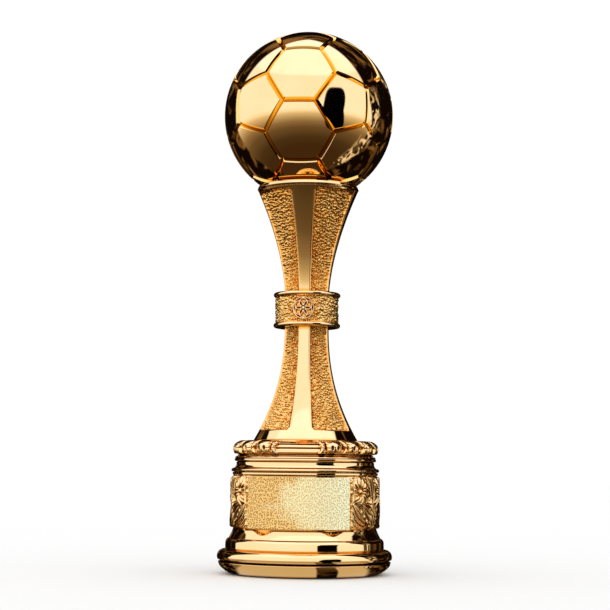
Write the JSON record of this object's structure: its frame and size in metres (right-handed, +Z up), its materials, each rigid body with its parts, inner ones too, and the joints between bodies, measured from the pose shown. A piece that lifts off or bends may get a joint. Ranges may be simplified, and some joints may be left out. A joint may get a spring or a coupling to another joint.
{
  "type": "football trophy",
  "caption": "Gold football trophy: a panelled ball in a cup on a waisted column with a banded collar, over a round relief base with a blank name plate.",
  "frame": {"origin": "on the column's axis at the underside of the felt pad, where the trophy meets the table", "axes": "+Z up the column's axis towards the ball; the front, with the name plate, faces -Y; +X is on the viewer's right"},
  "size_m": [0.1052, 0.1052, 0.33],
  "materials": {
    "polished_gold": "mirror-polished gold plate",
    "frosted_gold": "frosted gold plate with a polished edge",
    "plain_brass": "machined, unpolished",
    "zinc_steel": "bright zinc plate",
    "cast_iron": "as cast",
    "black_board": "matt black fibreboard",
    "green_felt": "dense felt",
    "foam_tape": "double-sided foam tape"
  },
  "bodies": {
    "root": {"ball_shell": "polished_gold", "ball_insert": "plain_brass", "seat_cup": "polished_gold", "upper_column": "polished_gold", "collar_band": "polished_gold", "joint_spigot": "plain_brass", "lower_column": "polished_gold", "crown_ring": "polished_gold", "drum": "polished_gold", "plate_tape": "foam_tape", "name_plate": "frosted_gold", "plinth": "polished_gold", "tie_rod": "zinc_steel", "ballast_disc": "cast_iron", "rod_washer": "zinc_steel", "rod_spring_washer": "zinc_steel", "rod_nut": "zinc_steel", "bottom_plate": "black_board", "bottom_screw_1": "zinc_steel", "bottom_screw_2": "zinc_steel", "bottom_screw_3": "zinc_steel", "felt_pad": "green_felt"}
  },
  "joints": []
}
